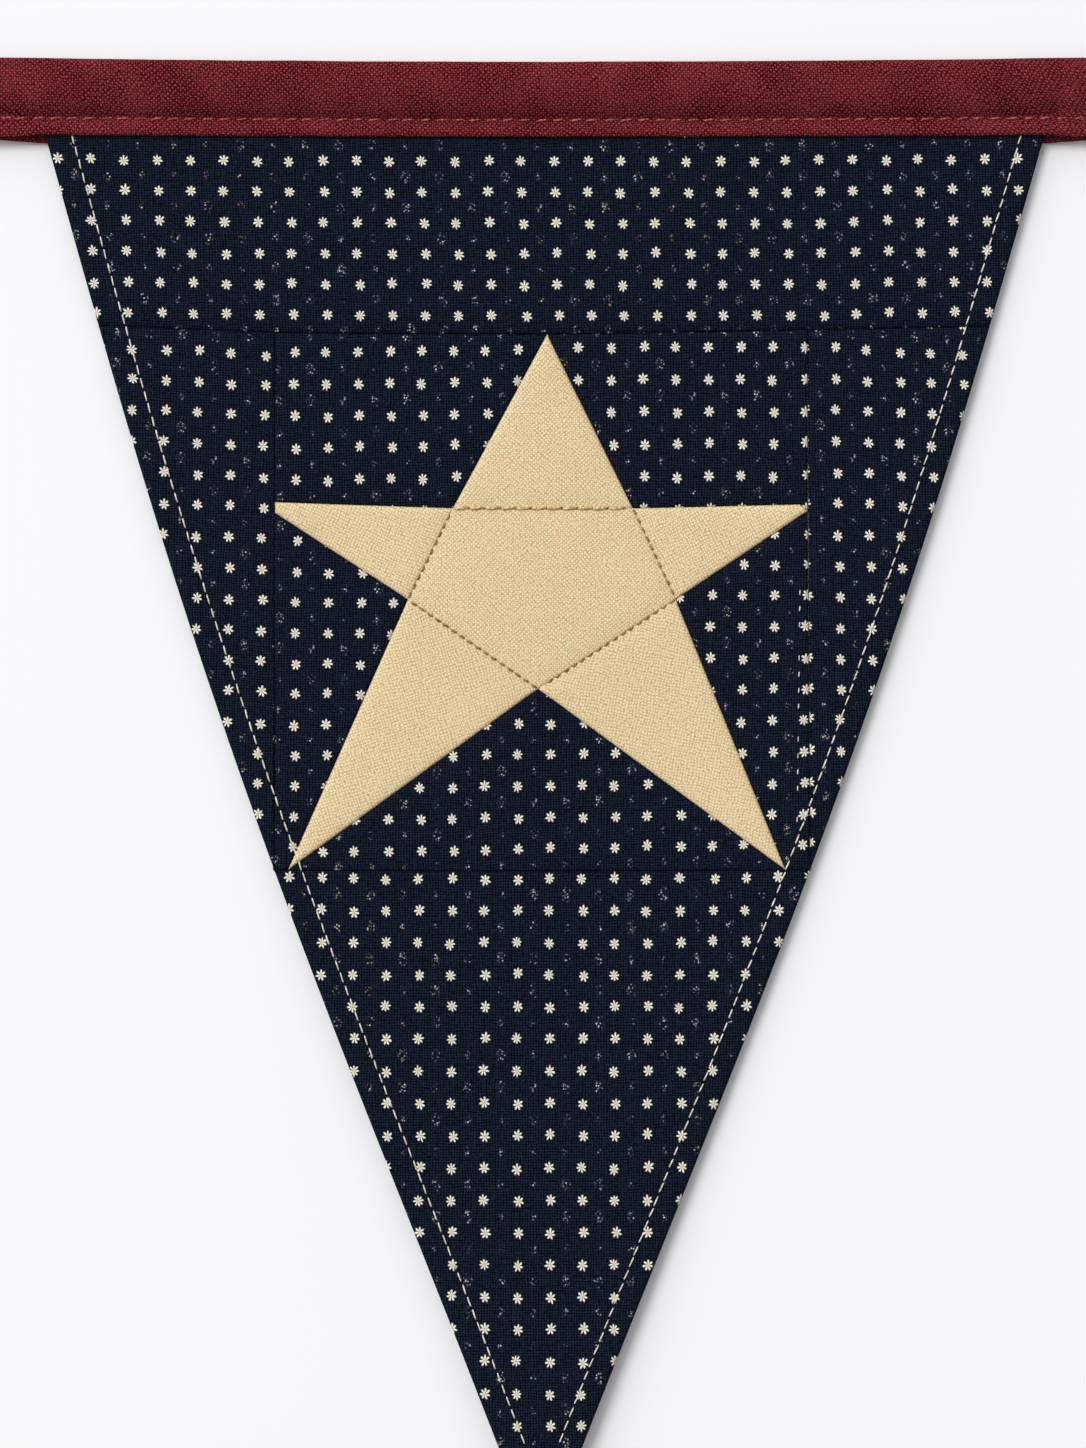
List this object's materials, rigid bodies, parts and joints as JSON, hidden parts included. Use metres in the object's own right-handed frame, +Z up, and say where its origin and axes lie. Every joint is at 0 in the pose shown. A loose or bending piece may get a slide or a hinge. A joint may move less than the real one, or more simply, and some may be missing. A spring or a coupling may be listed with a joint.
{
  "type": "bunting pennant on tape",
  "caption": "Pieced navy print pennant with a cream star, hanging from a folded burgundy tape that runs on past both its sides.",
  "frame": {"origin": "middle of the tape's top edge, half-way through its thickness", "axes": "+X along the tape to the viewer's right, +Y from the front of the cloth to its back, +Z up; the pennant points down -Z"},
  "size_m": [0.25, 0.0055, 0.284],
  "materials": {
    "burgundy_tape": "plain-weave cotton, folded and stitched",
    "navy_print": "plain-weave quilting cotton with a small cream flower print",
    "cream_cloth": "coarse plain-weave cotton"
  },
  "bodies": {
    "root": {"tape": "burgundy_tape", "top_strip": "navy_print", "left_side": "navy_print", "right_side": "navy_print", "tip_piece": "navy_print", "ground_top_left": "navy_print", "ground_top_right": "navy_print", "ground_low_left": "navy_print", "ground_low_right": "navy_print", "ground_low_middle": "navy_print", "star_top": "cream_cloth", "star_left": "cream_cloth", "star_right": "cream_cloth", "star_low_left": "cream_cloth", "star_low_right": "cream_cloth", "star_centre": "cream_cloth"}
  },
  "joints": []
}
